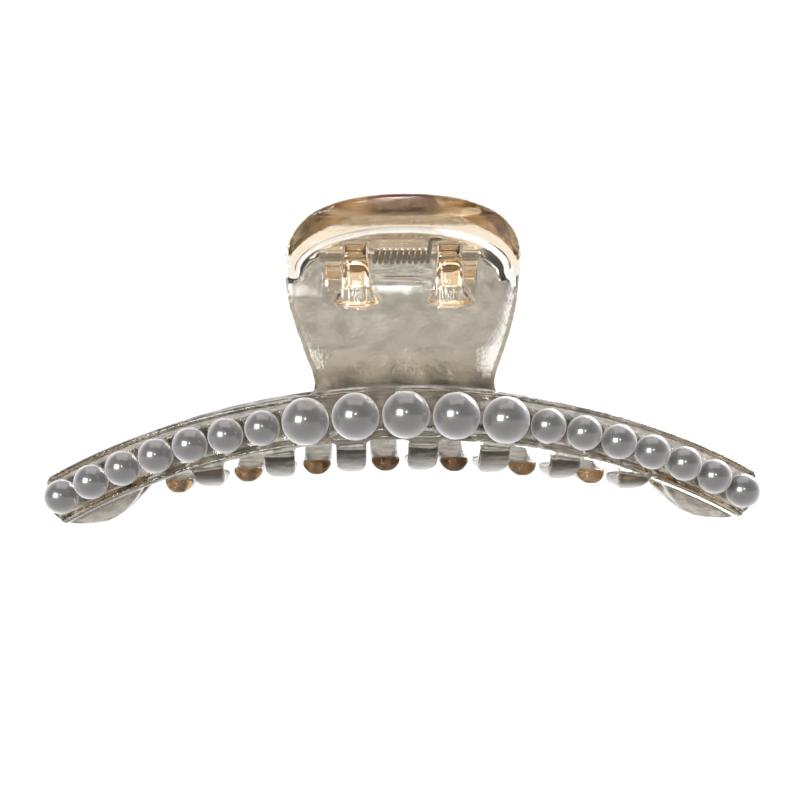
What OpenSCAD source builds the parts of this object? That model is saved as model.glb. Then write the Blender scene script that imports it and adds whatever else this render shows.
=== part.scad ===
// Claw hair clip: two moulded jaws on a hinge pin, closed by a torsion spring, with a row of
// imitation pearls glued along each jaw's bar.
// The hinge runs along X, the front jaw is at -Y, and the clip stands on its end lobes at Z = 0.

/* [Bar] */
// Height of the pearl line above the resting plane, at the middle
line_z = 19.3; // [19:0.1:21]
// Distance from the mid-plane to the middle of the bar's wall
bar_out = 18.5; // [16:0.5:22]
// Radius of the arc that the bar follows
arc_r = 104; // [95:1:120]
// Angle of the arc's plane above the horizontal
arc_tilt = 51; // [49:0.5:54]
// Height of the bar
bar_h = 8.6; // [8.4:0.1:9.4]
// Distance from the middle of the bar's wall to its inner face
bar_inner = 1.3; // [1:0.1:1.6]
// Distance from the middle of the bar's wall to the floor of the pearl channel
channel_q = 0.7; // [0.5:0.1:0.9]
// Distance from the middle of the bar's wall to the top of its rims
rim_q = 1.6; // [1.3:0.1:1.8]
// Width of each rim beside the channel
rim_w = 0.8; // [0.6:0.1:0.9]

/* [Pearls] */
// Diameter of the five middle pearls
big_d = 8; // [7.6:0.1:8.2]
// Diameter of the outer pearls
small_d = 6; // [5.6:0.1:6.2]
// Gap between neighbouring pearls
pearl_gap = 0.45; // [0.3:0.05:0.6]
// Depth that each pearl is let into the channel's floor
seat_depth = 0.7; // [0.4:0.1:0.9]
// Thickness of the glue between a pearl and its seat
glue = 0.05; // [0.03:0.01:0.1]

/* [Teeth] */
// Number of teeth between the end lobes of one jaw
teeth = 7; // [7:2:7]
// Distance between neighbouring teeth of one jaw
tooth_pitch = 12.2; // [11.8:0.1:12.4]
// Width of a tooth
tooth_w = 5.1; // [4.4:0.1:5.3]
// Thickness of a tooth at its root and at its tip
tooth_t = [2.1, 2.6]; // [1.6:0.1:2.8]
// Distance that a tooth reaches past the mid-plane
tooth_cross = 5; // [3:0.5:6]
// Depth of the middle teeth below the pearl line
tooth_drop = 10.7; // [10:0.1:12]
// Radius of the curve that the tooth bottoms follow
tooth_row_r = 220; // [200:5:240]

/* [Lobes] */
// Distance from the middle to where an end lobe starts
lobe_x = 43.3; // [42.8:0.1:44]
// Gap between each lobe and the mid-plane
lobe_gap = 0.4; // [0.3:0.1:0.8]

/* [Handle] */
// Thickness of the handle's wall
wall = 2.2; // [1.8:0.1:2.6]
// Greatest half width of the handle
handle_half = 20.4; // [19:0.1:22]
// Half width of the handle at its neck
neck_half = 15.3; // [14:0.1:16]
// Height of the handle's widest place above the pearl line
wide_h = 24.6; // [23:0.2:26]
// Height of the neck above the pearl line
neck_h = 6.2; // [5:0.1:7]
// Height of the handle's top above the pearl line
top_h = 36.6; // [36:0.1:38]
// Radius of the bend that turns the handle outward
flare_r = 13; // [12:0.5:15]
// Lean of the handle's wall below the bend, inward as it rises
neck_lean = 26; // [24:1:28]
// Lean of the lip above the bend, outward as it rises
lip_lean = 67; // [60:1:70]
// Length of the straight lip above the bend
lip_len = 6.6; // [5:0.1:8]
// Radius of the handle's curve across its width
handle_r = 150; // [120:5:200]
// Height above the pearl line where the wall starts to thicken towards its foot
foot_from = 11; // [9:0.5:13]
// Lean of the thickened foot's inner face
foot_lean = 15; // [12:1:22]
// Half width and rise of the lip's lower edge in the front view
lip_edge = [18.6, 6.8]; // [6:0.1:19]
// Distance from the mid-plane to the lip's front face
lip_out = 24.6; // [24.4:0.1:26]

/* [Hinge] */
// Height of the hinge above the pearl line
hinge_h = 28.2; // [27:0.1:29]
// Radius of the knuckles
knuckle_r = 2.1; // [1.9:0.1:2.4]
// Radius of the hinge pin
pin_r = 0.75; // [0.7:0.05:0.8]
// Clearance between the pin and its holes
pin_clear = 0.04; // [0.03:0.01:0.08]
// Distance from the middle to each inner lug, and its thickness
inner_lug = [6.4, 3.4]; // [3:0.1:7]
// Distance from the middle to each outer lug, and its thickness
outer_lug = [10, 3.6]; // [3:0.1:11]
// Radius and thickness of the pin's head
pin_head = [1.25, 0.8]; // [0.6:0.05:1.4]

/* [Spring] */
// Diameter of the spring's wire
wire_d = 0.75; // [0.7:0.05:0.8]
// Radius of the coil, to the middle of the wire
coil_r = 1.24; // [1.22:0.01:1.3]
// Number of turns in the coil, counted between the legs
coil_turns = 9; // [8:1:9]
// Distance between neighbouring turns
coil_pitch = 1.06; // [1:0.02:1.1]
// Length of the hook at the end of each leg
hook_len = 1.8; // [1:0.1:2.2]

/* [Hidden] */
$fn = 96;
per_side = 9;
front_pearls = [for (i = [1:2 * per_side + 1]) str("front_pearl_", i)];
rear_pearls = [for (i = [1:2 * per_side + 1]) str("rear_pearl_", i)];

plastic = [0.87, 0.82, 0.72, 0.6];
pearl_white = [0.93, 0.92, 0.92];
steel = [0.72, 0.68, 0.6];

far = 80;
overlap = 0.6;
hinge_z = line_z + hinge_h;
half_bar = bar_h / 2;
arc_centre = [0, arc_r * cos(arc_tilt) - bar_out, line_z - arc_r * sin(arc_tilt)];

// The arc's frame: q is outward and h is up in a section across the bar.
function section(p) = [
    arc_r + p.x * cos(arc_tilt) + p.y * sin(arc_tilt),
    p.y * cos(arc_tilt) - p.x * sin(arc_tilt)
];
function sections(points) = [for (p = points) section(p)];
// How far the arc has fallen behind its own crown at a distance x from the middle.
function sagitta(x) = arc_r - sqrt(arc_r * arc_r - x * x);
function bar_out_at(x) = bar_out - sagitta(x) * cos(arc_tilt);
function bar_z_at(x) = line_z - sagitta(x) * sin(arc_tilt);

// Pearl i counts from the middle: 0 to 2 are big, and the rest are small.
function pearl_d(i) = abs(i) <= 2 ? big_d : small_d;
function pearl_q(i) = channel_q + pearl_d(i) / 2 - seat_depth;
function pearl_step(i) = (pearl_d(i) + pearl_d(i - 1)) / 2 + pearl_gap;
function pearl_run(i) = i == 0 ? 0 : pearl_run(i - 1) + pearl_step(i);
function pearl_angle(i) = sign(i) * pearl_run(abs(i)) / (arc_r + pearl_q(i) * cos(arc_tilt)) * 180 / PI;

// Lower edge of an end lobe in the front view, at a distance x from the middle.
lobe_end = [57.2, 5.5];
lobe_bottom = 0;
lobe_top = bar_z_at(lobe_x) - half_bar + 1.5;
function lobe_low(x) =
    lobe_top + (lobe_bottom - lobe_top) * sin(90 * min(1, (x - lobe_x) / (lobe_end.x - 3.5 - lobe_x)));

// Middle line of the handle's wall, from the bar up: outward distance and height over the pearl line.
bend_start = [11, 17];
bend_centre = bend_start + flare_r * [cos(neck_lean), sin(neck_lean)];
neck_foot = bend_start + 16.2 * [sin(neck_lean), -cos(neck_lean)];
bend_end = bend_centre + flare_r * [-cos(lip_lean), sin(lip_lean)];
lip_end = bend_end + lip_len * [sin(lip_lean), cos(lip_lean)];
bend_steps = 12;
// The wall's face at a distance d inward of the middle line.
function wall_face(d) = concat(
    [neck_foot - d * [cos(neck_lean), sin(neck_lean)]],
    [for (i = [0:bend_steps])
        let (a = -neck_lean + i * (neck_lean + lip_lean) / bend_steps)
        bend_centre + (flare_r + d) * [-cos(a), sin(a)]],
    [lip_end + d * [-cos(lip_lean), sin(lip_lean)]]
);
function reversed(v) = [for (i = [len(v) - 1:-1:0]) v[i]];

// Inner face of the wall's foot, from where it thickens down into the bar.
foot_start = bend_start - wall / 2 * [cos(neck_lean), sin(neck_lean)];
foot_turn = foot_start + (foot_start.y - foot_from) * [tan(neck_lean), -1];
foot_low = foot_turn + (foot_from - 1) * [tan(foot_lean), -1];
foot_face = [foot_turn, foot_low, [bar_out - 1, -2.5]];

// Half width of the handle at a height over the pearl line.
function handle_width(h) = h < wide_h
    ? neck_half + (handle_half - neck_half) * sin(90 * max(0, h - neck_h) / (wide_h - neck_h))
    : handle_half * pow(max(0, 1 - pow((h - wide_h) / (top_h - wide_h), 2.4)), 1 / 2.4);

// Level of the underside of a tooth at x.
function tooth_low(x) = line_z - tooth_drop - x * x / (2 * tooth_row_r);
// Middle line of a tooth at x: down from the bar, round most of a quarter of an ellipse, then level
// to the tip. The ellipse starts part of the way round, because its first stretch is too tight.
function tooth_line(x) =
    let (
        root = bar_out_at(x) + 0.1,
        top = bar_z_at(x) - half_bar + 0.7,
        low = tooth_low(x) + tooth_t[1] / 2,
        turn = [-1, top - 0.7],
        reach = [root - turn.x, turn.y - low],
        start_a = 18,
        steps = 12
    )
    concat(
        [[root, top]],
        [for (i = [0:steps])
            let (a = start_a + (90 - start_a) * i / steps)
            [turn.x + reach.x * cos(a), turn.y - reach.y * sin(a)]],
        [[-tooth_cross, low + 0.25]]
    );
function direction(line, i) =
    let (d = line[min(i + 1, len(line) - 1)] - line[max(i - 1, 0)])
    d / norm(d);
// One face of a strip along a line, with a thickness that changes evenly from root to tip.
function strip_side(line, thick, side) = [
    for (i = [0:len(line) - 1])
        let (d = direction(line, i), t = thick[0] + (thick[1] - thick[0]) * i / (len(line) - 1))
        line[i] + side * t / 2 * [d.y, -d.x]
];
function strip(line, thick) = concat(strip_side(line, thick, 1), reversed(strip_side(line, thick, -1)));

// Draws a section given as outward distance and height, as a slab across X.
module across(x, width) {
    translate([x - width / 2, 0, 0])
        rotate([90, 0, 90])
            linear_extrude(width)
                mirror([1, 0]) children();
}

// Draws a front view, given as x and height, right through the clip.
module front_view() {
    translate([0, far / 2, 0])
        rotate([90, 0, 0])
            linear_extrude(far) children();
}

// Turns a section of the bar about the arc's axis, between two angles from the middle.
module along_arc(from_a, to_a) {
    translate(arc_centre)
        rotate([-arc_tilt, 0, 0])
            rotate([0, 0, from_a - 90])
                rotate_extrude(angle = to_a - from_a, $fn = 180)
                    children();
}

// Places a shape on the arc at a distance q outward, turned so that its +X points at the arc's axis.
module at_arc(angle, q) {
    s = section([q, 0]);
    translate(arc_centre)
        rotate([-arc_tilt, 0, 0])
            rotate([0, 0, angle + 90])
                translate([-s.x, 0, s.y])
                    children();
}

module bar_section() {
    top = half_bar - 0.5;
    polygon(sections([
        [-bar_inner, -top], [-bar_inner, top], [0.5 - bar_inner, half_bar],
        [rim_q - 0.4, half_bar], [rim_q, half_bar - 0.4], [rim_q, half_bar - rim_w],
        [channel_q, half_bar - rim_w - 0.4], [channel_q, rim_w + 0.4 - half_bar],
        [rim_q, rim_w - half_bar], [rim_q, 0.4 - half_bar], [rim_q - 0.4, -half_bar],
        [0.5 - bar_inner, -half_bar]
    ]));
}

lobe_turn = [-10, -1.6];
lobe_depth = 5;
lobe_steps = 10;
function lobe_face(d) = [
    for (i = [0:lobe_steps])
        let (a = 96 * i / lobe_steps)
        [lobe_turn.x + (d - lobe_turn.x) * cos(a), lobe_turn.y - (lobe_depth + d) * sin(a)]
];

module lobe_section() {
    // Set inward of the bar's middle, so that it stays behind the channel's floor.
    inset = 0.5;
    polygon(sections(concat(lobe_face(wall / 2 - inset), reversed(lobe_face(-wall / 2 - inset)))));
}

// Front view of the space that the right lobe fills: its curved lower edge, and all above that.
module lobe_space() {
    steps = 12;
    last = lobe_end.x + 8;
    // Past the rounded end the edge only has to stay below the bar's outline.
    clear_from = lobe_end.x - 1.2;
    clear_drop = 4;
    top = 30;
    polygon(concat(
        [for (i = [0:steps])
            let (x = lobe_x + (last - lobe_x) * i / steps)
            [x, lobe_low(x) - (x > clear_from ? clear_drop : 0)]],
        [[last, top], [lobe_x, top]]
    ));
}

// Front view of the bar with its rounded ends and flat feet.
module bar_outline() {
    last = lobe_end.x;
    translate([-last, lobe_bottom]) square([2 * last, far]);
    for (side = [0, 1])
        mirror([side, 0]) {
            translate([last, lobe_bottom + lobe_end.y]) circle(lobe_end.y);
            translate([last - 0.4, lobe_bottom + lobe_end.y + 2.6]) circle(4.4);
        }
}

module bar() {
    end_angle = 38;
    intersection() {
        union() {
            along_arc(-end_angle, end_angle) bar_section();
            for (side = [0, 1])
                mirror([side, 0, 0])
                    intersection() {
                        along_arc(asin(lobe_x / arc_r) - 1, end_angle + 1) lobe_section();
                        front_view() lobe_space();
                    }
        }
        front_view() bar_outline();
        translate([-far, -far - lobe_gap, -far / 2]) cube([2 * far, far, 2 * far]);
    }
}

module handle_outline() {
    steps = 30;
    from_h = -2.5;
    span = top_h - from_h;
    heights = [for (i = [0:steps]) from_h + span * sin(90 * i / steps)];
    polygon(concat(
        [for (h = heights) [handle_width(h), line_z + h]],
        [for (h = reversed(heights)) [-handle_width(h), line_z + h]]
    ));
}

// The fillets between the neck and the top of the bar.
module neck_fillets() {
    r = 3;
    for (side = [0, 1])
        mirror([side, 0])
            difference() {
                translate([neck_half - 1, line_z + 1.5]) square([r + 1, r + 0.7]);
                translate([neck_half + r, line_z + 2.2 + r]) circle(r);
            }
}

// Sweeps a section, given as outward distance and height over the pearl line, round the handle's curve.
module handle_sweep(points) {
    axis = handle_r - bar_out;
    sweep = 9.5;
    translate([0, axis, line_z])
        rotate([0, 0, -90 - sweep])
            rotate_extrude(angle = 2 * sweep, $fn = 180)
                polygon([for (p = points) [axis + p.x, p.y]]);
}

module handle_wall() {
    inner = wall_face(wall / 2);
    handle_sweep(concat(
        wall_face(-wall / 2),
        [for (i = [len(inner) - 1:-1:1]) inner[i]],
        foot_face
    ));
}

// The solid in front of the bend, before the lip's lower edge is cut from it.
module lip_solid() {
    steps = 8;
    slant_h = 33;
    handle_sweep(concat(
        [for (i = [0:steps])
            let (a = lip_lean * i / steps)
            bend_centre + flare_r * [-cos(a), sin(a)]],
        [lip_end, [lip_out, lip_end.y + 0.4], [lip_out, slant_h]]
    ));
}

// Front view of the opening under the lip: half an ellipse, and all below it.
module lip_opening() {
    steps = 36;
    polygon(concat(
        [for (i = [0:steps])
            let (a = 180 * i / steps)
            [lip_edge.x * cos(a), line_z + wide_h + lip_edge.y * sin(a)]],
        [[-lip_edge.x, line_z], [lip_edge.x, line_z]]
    ));
}

module handle() {
    intersection() {
        handle_wall();
        front_view() union() {
            handle_outline();
            neck_fillets();
        }
    }
    intersection() {
        lip_solid();
        front_view() difference() {
            handle_outline();
            lip_opening();
        }
    }
}

// Front view of a tooth at x, with a round underside.
module tooth_outline(x) {
    r = tooth_w / 2 + 0.2;
    low = tooth_low(x) + 0.12;
    translate([x, low + r]) circle(r);
    translate([x - r, low + r]) square([2 * r, far / 2]);
}

module tooth(x) {
    intersection() {
        front_view() tooth_outline(x);
        across(x, tooth_w) polygon(strip(tooth_line(x), tooth_t));
        translate([x, 0, 0])
            linear_extrude(far)
                union() {
                    translate([0, tooth_cross - tooth_w / 2]) circle(d = tooth_w);
                    translate([-tooth_w / 2, -far / 2])
                        square([tooth_w, far / 2 + tooth_cross - tooth_w / 2]);
                }
    }
}

// A round pocket under each pearl, square to the channel's floor.
function seat_r(i) = sqrt(pow(pearl_d(i) / 2, 2) - pow(pearl_d(i) / 2 - seat_depth, 2)) + 2 * glue;
module pearl_seats() {
    depth = seat_depth + glue;
    for (i = [-per_side:per_side])
        at_arc(pearl_angle(i), channel_q - depth)
            rotate([0, 270 - arc_tilt, 0])
                cylinder(r = seat_r(i), h = depth + 0.8);
}

// Everything that the two jaws share. The row of teeth is a quarter of a pitch off centre, so with
// the rear jaw turned half round the teeth of each jaw meet the gaps of the other.
module jaw_shell() {
    middle = (teeth - 1) / 2;
    difference() {
        union() {
            bar();
            handle();
            for (k = [-middle:middle]) tooth((k + 0.25) * tooth_pitch);
        }
        pearl_seats();
    }
}

// Where a line from point p touches a circle, on the side that the sign names.
function touch(p, centre, r, side) =
    let (v = p - centre, a = atan2(v.y, v.x) + side * acos(r / norm(v)))
    centre + r * [cos(a), sin(a)];

// The side view of a lug: a knuckle round the pin, widening to its root in the handle's wall.
module lug_side(low) {
    centre = [0, hinge_h];
    inside_r = knuckle_r - 0.1;
    root_high = [10.8, 29.8];
    root_low = [12.4, low];
    polygon([
        touch(root_high, centre, inside_r, 1), root_high, root_low,
        touch(root_low, centre, inside_r, -1), centre
    ]);
    translate(centre) circle(knuckle_r);
}

module lugs(lug, low) {
    for (side = [-1, 1])
        translate([0, 0, line_z])
            across(side * (lug[0] + lug[1] / 2), lug[1])
                lug_side(low);
}

// The layer just inside the handle's wall, where feet and ribs stand on it.
module wall_layer(depth) {
    face = concat(wall_face(wall / 2 - overlap), reversed(wall_face(wall / 2 + depth)));
    translate([0, 0, line_z])
        across(0, 2 * handle_half) polygon(face);
}

// The flared feet of the inner lugs and the rib between them.
module lug_feet() {
    foot = [7.4, 3.6];
    foot_h = 18.8;
    rib_h = 23.9;
    rib = [0.6, 0.4];
    mid = inner_lug[0] + inner_lug[1] / 2;
    intersection() {
        wall_layer(1.8);
        front_view() union() {
            for (side = [-1, 1])
                translate([side * mid, line_z + foot_h])
                    polygon([
                        [-foot.x / 2, 0], [foot.x / 2, 0],
                        [inner_lug[1] / 2, foot.y], [-inner_lug[1] / 2, foot.y]
                    ]);
        }
    }
    intersection() {
        wall_layer(rib.y);
        front_view()
            translate([-inner_lug[0] - 1, line_z + rib_h])
                square([2 * inner_lug[0] + 2, rib.x]);
    }
}

module pin_hole() {
    translate([-far / 2, 0, hinge_z])
        rotate([0, 90, 0]) cylinder(r = pin_r + pin_clear, h = far);
}

module front_jaw() {
    color(plastic)
        difference() {
            union() {
                jaw_shell();
                lugs(inner_lug, 18.2);
                lug_feet();
            }
            pin_hole();
        }
}

module rear_jaw() {
    color(plastic)
        difference() {
            rotate([0, 0, 180]) {
                jaw_shell();
                lugs(outer_lug, 20);
            }
            pin_hole();
        }
}

module hinge_pin() {
    reach = outer_lug[0] + outer_lug[1];
    color(steel)
        translate([0, 0, hinge_z])
            rotate([0, 90, 0]) {
                translate([0, 0, -reach - 0.1 - pin_head[1]])
                    cylinder(r = pin_head[0], h = pin_head[1]);
                translate([0, 0, -reach - 0.4]) cylinder(r = pin_r, h = 2 * reach + 0.7);
                translate([0, 0, reach + 0.3]) cylinder(r1 = pin_r, r2 = pin_r - 0.3, h = 0.3);
            }
}

// The spring is one wire, kept as two nodes so that each end moves with its own jaw: the rear leg
// with most of the coil, and the front leg with the coil's last turn.
leg_rise = 20;
leg_len = 10.5;
coil_steps = 18;
// Both legs rise from tangents to the bottom of the coil, so it has a little more than whole turns
// and winds tighter as the handles are pressed together.
coil_last = coil_turns * coil_steps + 2 * leg_rise * coil_steps / 360;
coil_half = coil_last / coil_steps * coil_pitch / 2;
function coil_point(i) =
    let (a = 270 + leg_rise - 360 * i / coil_steps)
    [i / coil_steps * coil_pitch - coil_half, coil_r * cos(a), coil_r * sin(a)];
// A leg leaves the coil on a tangent, towards the front (side -1) or the rear (side 1).
function leg(side) =
    let (
        root = [-side * coil_half, side * coil_r * sin(leg_rise), -coil_r * cos(leg_rise)],
        along = [0, side * cos(leg_rise), sin(leg_rise)]
    )
    [root + along * leg_len + [-side * hook_len, 0, 0], root + along * leg_len];
spring_line = concat(leg(1), [for (i = [0:coil_last]) coil_point(i)], reversed(leg(-1)));
last_turn = len(leg(1)) + coil_last - coil_steps;
wire_sides = 8;
function unit(v) = v / norm(v);
function wire_ring(i) =
    let (
        ahead = unit(spring_line[min(i + 1, len(spring_line) - 1)] - spring_line[max(i - 1, 0)]),
        side = unit(cross(ahead, abs(ahead.x) > 0.8 ? [0, 0, 1] : [1, 0, 0])),
        up = cross(side, ahead)
    )
    [for (k = [0:wire_sides - 1])
        let (a = 360 * k / wire_sides)
        spring_line[i] + wire_d / 2 * (cos(a) * side + sin(a) * up)];

module wire(first, last) {
    rings = last - first + 1;
    n = wire_sides;
    color(steel)
        translate([0, 0, hinge_z])
            polyhedron(
                points = [for (i = [first:last]) each wire_ring(i)],
                faces = concat(
                    [[for (k = [0:n - 1]) k]],
                    [for (i = [0:rings - 2], k = [0:n - 1])
                        [i * n + k, (i + 1) * n + k, (i + 1) * n + (k + 1) % n, i * n + (k + 1) % n]],
                    [[for (k = [n - 1:-1:0]) (rings - 1) * n + k]]
                )
            );
}

module spring_coil() {
    wire(0, last_turn);
}

module spring_leg() {
    wire(last_turn, len(spring_line) - 1);
}

module pearl(i) {
    color(pearl_white)
        at_arc(pearl_angle(i), pearl_q(i)) sphere(d = pearl_d(i));
}

front_jaw();
rear_jaw();
hinge_pin();
spring_coil();
spring_leg();
for (i = [-per_side:per_side]) {
    pearl(i);
    rotate([0, 0, 180]) pearl(i);
}
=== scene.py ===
import math

import bpy
import numpy as np
from mathutils import Matrix, Vector


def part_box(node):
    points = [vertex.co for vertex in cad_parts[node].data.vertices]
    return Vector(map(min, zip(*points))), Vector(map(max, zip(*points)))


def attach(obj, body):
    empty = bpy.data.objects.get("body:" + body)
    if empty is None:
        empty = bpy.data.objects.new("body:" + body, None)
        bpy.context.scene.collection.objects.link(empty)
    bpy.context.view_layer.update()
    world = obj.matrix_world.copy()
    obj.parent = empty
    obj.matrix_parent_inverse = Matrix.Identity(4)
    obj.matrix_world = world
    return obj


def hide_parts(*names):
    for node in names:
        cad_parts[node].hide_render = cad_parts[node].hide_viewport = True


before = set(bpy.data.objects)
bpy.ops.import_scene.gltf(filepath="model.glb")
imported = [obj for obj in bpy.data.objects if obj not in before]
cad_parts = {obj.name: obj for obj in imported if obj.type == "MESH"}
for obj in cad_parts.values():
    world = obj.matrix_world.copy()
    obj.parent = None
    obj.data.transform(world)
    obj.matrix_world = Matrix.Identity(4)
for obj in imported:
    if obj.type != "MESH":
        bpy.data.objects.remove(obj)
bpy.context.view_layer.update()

MM = 0.001

# ---------------------------------------------------------------- sizes, from the frame

pin_low, pin_high = (np.array(c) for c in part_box("hinge_pin"))
axis_z = (pin_low[2] + pin_high[2]) / 2
PEARLS_PER_JAW = 19


def pearl_place(node):
    """Centre and radius of a CAD pearl."""
    low, high = (np.array(c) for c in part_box(node))
    return (low + high) / 2, float((high - low).max()) / 2


# ---------------------------------------------------------------- materials

def new_material(name):
    """A material with an empty node tree and its output."""
    mat = bpy.data.materials.new(name)
    mat.use_nodes = True
    nodes = mat.node_tree.nodes
    nodes.clear()
    out = nodes.new("ShaderNodeOutputMaterial")
    return mat, nodes, mat.node_tree.links, out


def principled(nodes, links, out, **values):
    """A Principled BSDF with its sockets set to plain values."""
    shader = nodes.new("ShaderNodeBsdfPrincipled")
    for key, value in values.items():
        shader.inputs[key.replace("_", " ")].default_value = value
    links.new(shader.outputs[0], out.inputs["Surface"])
    return shader


def combine(nodes, links, operation, first, second):
    """The result of a Math node that works on two sockets."""
    node = nodes.new("ShaderNodeMath")
    node.operation = operation
    links.new(first, node.inputs[0])
    links.new(second, node.inputs[1])
    return node.outputs[0]


def noise_bump(nodes, links, shader, scale, strength, distance, detail=2.0):
    """Fine unevenness of a surface, as a bump from object-space noise. The noise and the bump are
    returned, for a material that uses them further."""
    coords = nodes.new("ShaderNodeTexCoord")
    noise = nodes.new("ShaderNodeTexNoise")
    noise.inputs["Scale"].default_value = scale
    noise.inputs["Detail"].default_value = detail
    bump = nodes.new("ShaderNodeBump")
    bump.inputs["Strength"].default_value = strength
    bump.inputs["Distance"].default_value = distance
    links.new(coords.outputs["Object"], noise.inputs["Vector"])
    links.new(noise.outputs[0], bump.inputs["Height"])
    links.new(bump.outputs["Normal"], shader.inputs["Normal"])
    return noise, bump


# Heights where the painted shade on the bar and the handle's pebbling end and the uneven lip starts,
# and how far each fades. Between them the wall in front of the hinge is smooth.
PAINTED_SHADE_TOP, PAINTED_SHADE_FADE = 24 * MM, 3 * MM
PEBBLE_TOP, PEBBLE_FADE = 39 * MM, 3.5 * MM
LIP_LOW, LIP_FADE = 50 * MM, 1.5 * MM
# Bump strengths of the pebbled, smooth and uneven zones.
PEBBLED, SMOOTH, UNEVEN = 0.6, 0.04, 0.5
# A face's distance from the mid-plane, times how far it faces outward, where the painted shade is full.
PAINTED_SHADE_FULL = -4 * MM
# The painted shade's darkest and palest greys, and the noise values where it reaches them.
PAINTED_SHADE_GREYS = ((0.36, 0.25), (0.64, 0.60))
# Sockets of a Mix node that is set to colours.
MIX_FACTOR, MIX_A, MIX_B, MIX_RESULT = 0, 6, 7, 2


def height_ramp(nodes, links, top, fade, below, above):
    """A value that changes from below to above over a short height."""
    coords = nodes.new("ShaderNodeTexCoord")
    place = nodes.new("ShaderNodeSeparateXYZ")
    ramp = nodes.new("ShaderNodeMapRange")
    ends = {"From Min": top, "From Max": top + fade, "To Min": below, "To Max": above}
    for key, value in ends.items():
        ramp.inputs[key].default_value = value
    links.new(coords.outputs["Object"], place.inputs[0])
    links.new(place.outputs["Z"], ramp.inputs["Value"])
    return ramp.outputs[0]


def painted_shade_mask(nodes, links):
    """Where shade is painted: one on the faces that look at the clip's mid-plane and all over the bar
    and teeth, and nought on the handle's outer faces."""
    coords = nodes.new("ShaderNodeTexCoord")
    place = nodes.new("ShaderNodeSeparateXYZ")
    facing = nodes.new("ShaderNodeSeparateXYZ")
    ramp = nodes.new("ShaderNodeMapRange")
    ramp.inputs["From Min"].default_value = 0.0
    ramp.inputs["From Max"].default_value = PAINTED_SHADE_FULL
    links.new(coords.outputs["Object"], place.inputs[0])
    links.new(coords.outputs["Normal"], facing.inputs[0])
    outward = combine(nodes, links, "MULTIPLY", place.outputs["Y"], facing.outputs["Y"])
    links.new(outward, ramp.inputs["Value"])
    # Below the bar's top the shade is painted on every face.
    low_down = height_ramp(nodes, links, PAINTED_SHADE_TOP, PAINTED_SHADE_FADE, 1.0, 0.0)
    return combine(nodes, links, "MAXIMUM", ramp.outputs[0], low_down)


def clear_plastic():
    """Champagne-tinted clear plastic, with a mottled grey painted shade on its bar, teeth and inner
    faces: it turns amber where light takes a long way through it."""
    mat, nodes, links, out = new_material("clear_plastic")
    shader = principled(nodes, links, out, Roughness=0.03, IOR=1.49, Transmission_Weight=1.0)
    noise, bump = noise_bump(nodes, links, shader, 420, PEBBLED, 0.2 * MM, 6.0)
    noise.inputs["Roughness"].default_value = 0.62
    pebbled = height_ramp(nodes, links, PEBBLE_TOP, PEBBLE_FADE, PEBBLED, SMOOTH)
    uneven_lip = height_ramp(nodes, links, LIP_LOW, LIP_FADE, SMOOTH, UNEVEN)
    links.new(combine(nodes, links, "MAXIMUM", pebbled, uneven_lip), bump.inputs["Strength"])
    # Painted shade: the noise picks a mottled grey that darkens the plastic's colour.
    shade_ramp = nodes.new("ShaderNodeValToRGB")
    for element, (position, grey) in zip(shade_ramp.color_ramp.elements, PAINTED_SHADE_GREYS):
        element.position = position
        element.color = (grey, grey * 0.995, grey * 0.97, 1)
    links.new(noise.outputs[0], shade_ramp.inputs["Fac"])
    tint = nodes.new("ShaderNodeMix")
    tint.data_type = "RGBA"
    tint.inputs[MIX_A].default_value = (0.97, 0.97, 0.965, 1)
    # The painted shade replaces the plain tint where the mask is one.
    links.new(painted_shade_mask(nodes, links), tint.inputs[MIX_FACTOR])
    links.new(shade_ramp.outputs["Color"], tint.inputs[MIX_B])
    links.new(tint.outputs[MIX_RESULT], shader.inputs["Base Color"])
    absorb = nodes.new("ShaderNodeVolumeAbsorption")
    absorb.inputs["Color"].default_value = (0.84, 0.52, 0.0, 1)
    absorb.inputs["Density"].default_value = 62.0
    links.new(absorb.outputs[0], out.inputs["Volume"])
    return mat


def pearl_coat():
    """Pearl lacquer: a dark grey, half-metallic body under a sharp clear coat, paler at the rim."""
    mat, nodes, links, out = new_material("pearl_coat")
    shader = principled(
        nodes, links, out, Base_Color=(0.085, 0.082, 0.077, 1), Metallic=0.4, Roughness=0.3,
        Specular_IOR_Level=0.6, Coat_Weight=1.0, Coat_Roughness=0.07, Coat_IOR=1.6,
        Sheen_Weight=1.0, Sheen_Roughness=0.5)
    shader.inputs["Sheen Tint"].default_value = (1.0, 0.98, 1.0, 1)
    noise_bump(nodes, links, shader, 260, 0.05, 0.2 * MM)
    return mat


def metal(name, colour, roughness, bump):
    """A drawn or turned metal with fine marks."""
    mat, nodes, links, out = new_material(name)
    shader = principled(
        nodes, links, out, Base_Color=(*colour, 1), Metallic=1.0, Roughness=roughness)
    noise_bump(nodes, links, shader, 1500, bump, 0.1 * MM)
    return mat


plastic = clear_plastic()
pearl_finish = pearl_coat()
pin_finish = metal("pin_steel", (0.45, 0.41, 0.34), 0.22, 0.08)
wire_finish = metal("spring_wire", (0.27, 0.20, 0.105), 0.17, 0.05)


def finish_with(obj, mat):
    """Gives a piece one material and smooth shading."""
    obj.data.materials.clear()
    obj.data.materials.append(mat)
    obj.data.polygons.foreach_set("use_smooth", [True] * len(obj.data.polygons))


# ---------------------------------------------------------------- meshes

def mesh_piece(name, verts, faces, mat, node, body):
    """A piece made from points and faces, standing for a CAD node."""
    mesh = bpy.data.meshes.new(name)
    mesh.from_pydata([tuple(v) for v in verts], [], faces)
    mesh.validate()
    mesh.update()
    obj = bpy.data.objects.new(name, mesh)
    bpy.context.collection.objects.link(obj)
    finish_with(obj, mat)
    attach(obj, body)
    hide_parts(node)
    return obj


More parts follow.
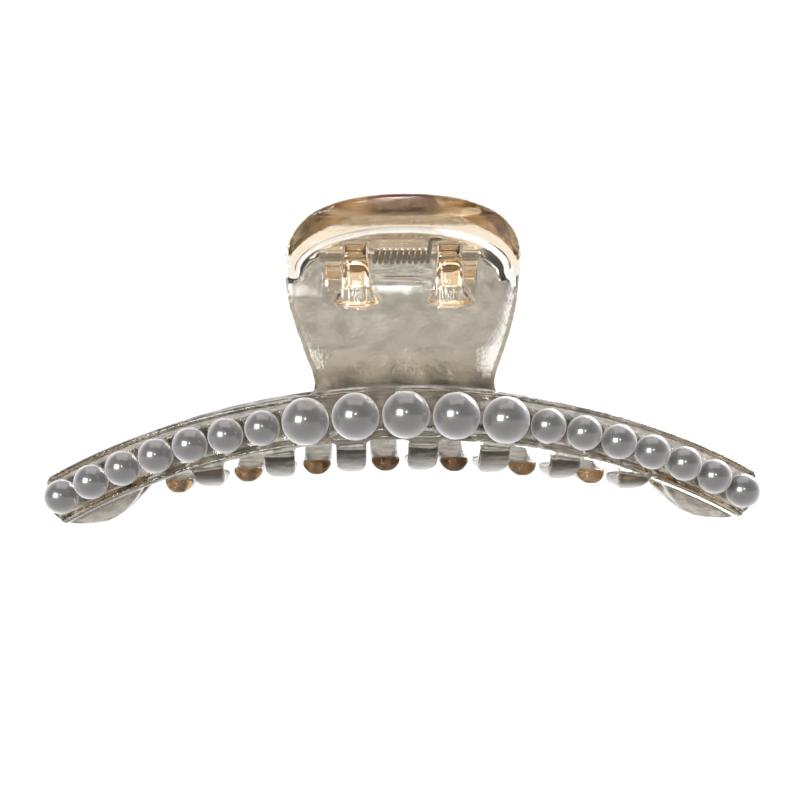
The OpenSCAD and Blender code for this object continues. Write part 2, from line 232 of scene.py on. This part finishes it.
# How deep a bead's dimples are, as a part of its radius, and how wide, in radians.
DIMPLE_DEPTH, DIMPLE_WIDTH = 0.03, 0.16
BEAD_SEEDS = {"front": 7, "rear": 11}


def pearl_mesh(centre, radius, turn, squash):
    """A bead as turned: rings round its drill axis, with a shallow dimple where the hole's two ends
    were plugged."""
    rings, around = 40, 64
    pole = radius * (1 - DIMPLE_DEPTH)
    verts, faces = [(0, 0, pole), (0, 0, -pole)], []
    for i in range(1, rings):
        a = math.pi * i / rings
        from_pole = min(a, math.pi - a)
        r = radius * (1 - DIMPLE_DEPTH * math.exp(-(from_pole / DIMPLE_WIDTH) ** 2))
        wide = r * math.sin(a) * squash
        for j in range(around):
            b = 2 * math.pi * j / around
            verts.append((wide * math.cos(b), wide * math.sin(b), r * math.cos(a)))
    first, last = 2, 2 + (rings - 2) * around
    for j in range(around):
        k = (j + 1) % around
        faces.append((0, first + j, first + k))
        faces.append((1, last + k, last + j))
        for low in range(first, last, around):
            faces.append((low + j, low + around + j, low + around + k, low + k))
    points = np.array(verts) @ np.array(turn.to_3x3()).T + centre
    return points, faces


def build_pearls(jaw):
    """The beads of one jaw, each turned its own way as when glued by hand."""
    rng = np.random.default_rng(BEAD_SEEDS[jaw])
    most = 0.25
    for i in range(1, PEARLS_PER_JAW + 1):
        node = f"{jaw}_pearl_{i}"
        centre, radius = pearl_place(node)
        nod = Matrix.Rotation(rng.uniform(-most, most), 4, "X")
        lean = Matrix.Rotation(rng.uniform(-most, most), 4, "Y")
        verts, faces = pearl_mesh(centre, radius, nod @ lean, rng.uniform(0.985, 1.0))
        mesh_piece(f"{jaw}_bead_{i}", verts, faces, pearl_finish, node, jaw)


def sweep(line, radius, sides=16):
    """A round wire along a line. Its ends are cut flat, with an inner ring in each for even shading."""
    line = np.asarray(line, float)
    ahead = np.gradient(line, axis=0)
    ahead /= np.linalg.norm(ahead, axis=1)[:, None]
    verts, faces = [], []
    side = None
    end_width = 0.6
    rows = [(0, end_width), *[(i, 1.0) for i in range(len(line))], (len(line) - 1, end_width)]
    for i, shrink in rows:
        t = ahead[i]
        if side is None:
            side = np.cross(t, (1, 0, 0) if abs(t[0]) < 0.8 else (0, 0, 1))
        side = side - t * (side @ t)
        side /= np.linalg.norm(side)
        up = np.cross(t, side)
        for k in range(sides):
            a = 2 * math.pi * k / sides
            verts.append(line[i] + radius * shrink * (math.cos(a) * side + math.sin(a) * up))
    for i in range(len(rows) - 1):
        for k in range(sides):
            n = (k + 1) % sides
            faces.append((i * sides + k, i * sides + n, (i + 1) * sides + n, (i + 1) * sides + k))
    faces.append(tuple(range(sides))[::-1])
    faces.append(tuple((len(rows) - 1) * sides + k for k in range(sides)))
    return verts, faces


# The spring's own sizes, the same as in the CAD model.
WIRE_R = 0.375 * MM
COIL_R = 1.24 * MM
COIL_PITCH = 1.06 * MM
LEG_RISE = math.radians(20)
# Nine turns, and the two short arcs that lead into the rising legs.
COIL_TURNS = 9 + LEG_RISE / math.pi
# The rear piece has all but the last turn.
CUT_TURN = COIL_TURNS - 1
LEG_LEN = 10.5 * MM
HOOK_LEN = 1.8 * MM
HOOK_BEND = 0.8 * MM
# Points on a turn of the coil, and steps on a hook's bend and on a leg's straight stretch.
COIL_STEPS, LEG_STEPS = 36, 6


def coil_point(turn):
    """The wire's centre after so many turns from the coil's left end."""
    a = 1.5 * math.pi + LEG_RISE - 2 * math.pi * turn
    x = (turn - COIL_TURNS / 2) * COIL_PITCH
    return np.array([x, COIL_R * math.cos(a), COIL_R * math.sin(a) + axis_z])


def coil_points(from_turn, to_turn):
    """The coil's centre line between two turns."""
    steps = round((to_turn - from_turn) * COIL_STEPS)
    return [coil_point(from_turn + (to_turn - from_turn) * i / steps) for i in range(steps + 1)]


def leg_points(side):
    """A leg from its hook's tip to the coil, with the hook's corner rounded."""
    root = np.array([-side * COIL_TURNS * COIL_PITCH / 2, side * COIL_R * math.sin(LEG_RISE),
                     axis_z - COIL_R * math.cos(LEG_RISE)])
    along = np.array([0, side * math.cos(LEG_RISE), math.sin(LEG_RISE)])
    hook = np.array([-side, 0, 0])
    corner = root + along * LEG_LEN
    points = [corner + hook * HOOK_LEN]
    for i in range(LEG_STEPS + 1):
        a = math.pi / 2 * i / LEG_STEPS
        inward = hook * HOOK_BEND * (1 - math.sin(a))
        points.append(corner + inward - along * HOOK_BEND * (1 - math.cos(a)))
    straight = along * (LEG_LEN - HOOK_BEND)
    points += [root + straight * (1 - i / LEG_STEPS) for i in range(1, LEG_STEPS)]
    return points


def build_spring():
    """The wire as drawn, in the two pieces that move with the two jaws."""
    rear = leg_points(1) + coil_points(0, CUT_TURN)
    front = coil_points(CUT_TURN, COIL_TURNS) + leg_points(-1)[::-1]
    for name, line, node, body in (("wire_coil", rear, "spring_coil", "rear"),
                                   ("wire_leg", front, "spring_leg", "front")):
        verts, faces = sweep(line, WIRE_R)
        mesh_piece(name, verts, faces, wire_finish, node, body)


# ---------------------------------------------------------------- the mouldings and the pin

# The jaws' mesh detail, which keeps each under 200,000 faces, and how often it is smoothed.
VOXEL = 0.36 * MM
SMOOTH_PASSES = 6
# Points closer than this are joined, which closes tiny bubbles that the even mesh can leave.
WELD = 0.02 * MM


def soften_jaw(node):
    """Rounds a jaw's edges over, as a moulding's are."""
    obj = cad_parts[node]
    remesh = obj.modifiers.new("even_mesh", "REMESH")
    remesh.mode = "VOXEL"
    remesh.voxel_size = VOXEL
    remesh.use_smooth_shade = True
    smooth = obj.modifiers.new("rounded_edges", "SMOOTH")
    smooth.factor = 0.5
    smooth.iterations = SMOOTH_PASSES
    weld = obj.modifiers.new("no_bubbles", "WELD")
    weld.merge_threshold = WELD
    finish_with(obj, plastic)


def finish_pin():
    """Gives the pin its steel and breaks its edges."""
    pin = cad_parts["hinge_pin"]
    pin.data.materials.clear()
    pin.data.materials.append(pin_finish)
    bevel = pin.modifiers.new("turned_edge", "BEVEL")
    bevel.width = 0.12 * MM
    bevel.segments = 3
    bevel.limit_method = "ANGLE"


for jaw_node in ("front_jaw", "rear_jaw"):
    soften_jaw(jaw_node)
build_pearls("front")
build_pearls("rear")
build_spring()
finish_pin()

# ---------------------------------------------------------------- studio

def backdrop():
    """A pale floor that sweeps up behind the clip."""
    half, front = 3.0, 3.0
    back, rise = 0.9, 1.5
    radius, steps = 0.5, 24
    profile = [(-front, 0.0), (back - radius, 0.0)]
    for i in range(1, steps + 1):
        a = math.pi / 2 * i / steps
        profile.append((back - radius + radius * math.sin(a), radius - radius * math.cos(a)))
    profile.append((back, rise))
    verts = [(x, y, z) for y, z in profile for x in (-half, half)]
    faces = [(2 * i, 2 * i + 1, 2 * i + 3, 2 * i + 2) for i in range(len(profile) - 1)]
    mesh = bpy.data.meshes.new("backdrop")
    mesh.from_pydata(verts, [], faces)
    obj = bpy.data.objects.new("backdrop", mesh)
    bpy.context.collection.objects.link(obj)
    mat, nodes, links, out = new_material("backdrop_white")
    principled(nodes, links, out, Base_Color=(0.08, 0.08, 0.08, 1), Roughness=1.0,
               Specular_IOR_Level=0.0, Emission_Color=(1, 1, 1, 1), Emission_Strength=0.96)
    finish_with(obj, mat)


def area_light(name, place, size, power):
    """A soft box that looks at the middle of the clip."""
    data = bpy.data.lights.new(name, "AREA")
    data.shape = "RECTANGLE"
    data.size, data.size_y = size
    data.energy = power
    obj = bpy.data.objects.new(name, data)
    bpy.context.collection.objects.link(obj)
    obj.location = place
    obj.rotation_euler = (MIDDLE - Vector(place)).to_track_quat("-Z", "Y").to_euler()


MIDDLE = Vector((0, 0, 0.028))
backdrop()
area_light("window_left", (-0.48, -0.74, 0.20), (0.46, 0.40), 9.5)
area_light("window_right", (0.0, -0.90, 0.26), (0.10, 0.13), 1.0)
area_light("ceiling", (0.0, -0.1, 1.1), (1.2, 1.0), 6.0)
area_light("rear_fill", (0.45, 0.60, 0.50), (0.5, 0.4), 8.0)

world = bpy.data.worlds.new("room")
world.use_nodes = True
background = world.node_tree.nodes["Background"]
background.inputs["Color"].default_value = (0.34, 0.335, 0.33, 1)
background.inputs["Strength"].default_value = 1.0
bpy.context.scene.world = world
bpy.context.scene.view_settings.view_transform = "Standard"

# ---------------------------------------------------------------- camera, at the photo's angle

cam_data = bpy.data.cameras.new("camera")
cam_data.sensor_width = 36.0
cam_data.lens = 77.3
cam = bpy.data.objects.new("camera", cam_data)
bpy.context.collection.objects.link(cam)
cam.location = (-9.7 * MM, -308.6 * MM, 28.3 * MM)
yaw, pitch, roll = (math.radians(v) for v in (1.74, -1.31, -0.38))
look = Vector((math.sin(yaw) * math.cos(pitch), math.cos(yaw) * math.cos(pitch), math.sin(pitch)))
level = look.to_track_quat("-Z", "Y").to_matrix()
cam.rotation_euler = (level @ Matrix.Rotation(roll, 3, "Z")).to_euler()
cam_data.clip_start, cam_data.clip_end = 0.01, 10
bpy.context.scene.camera = cam
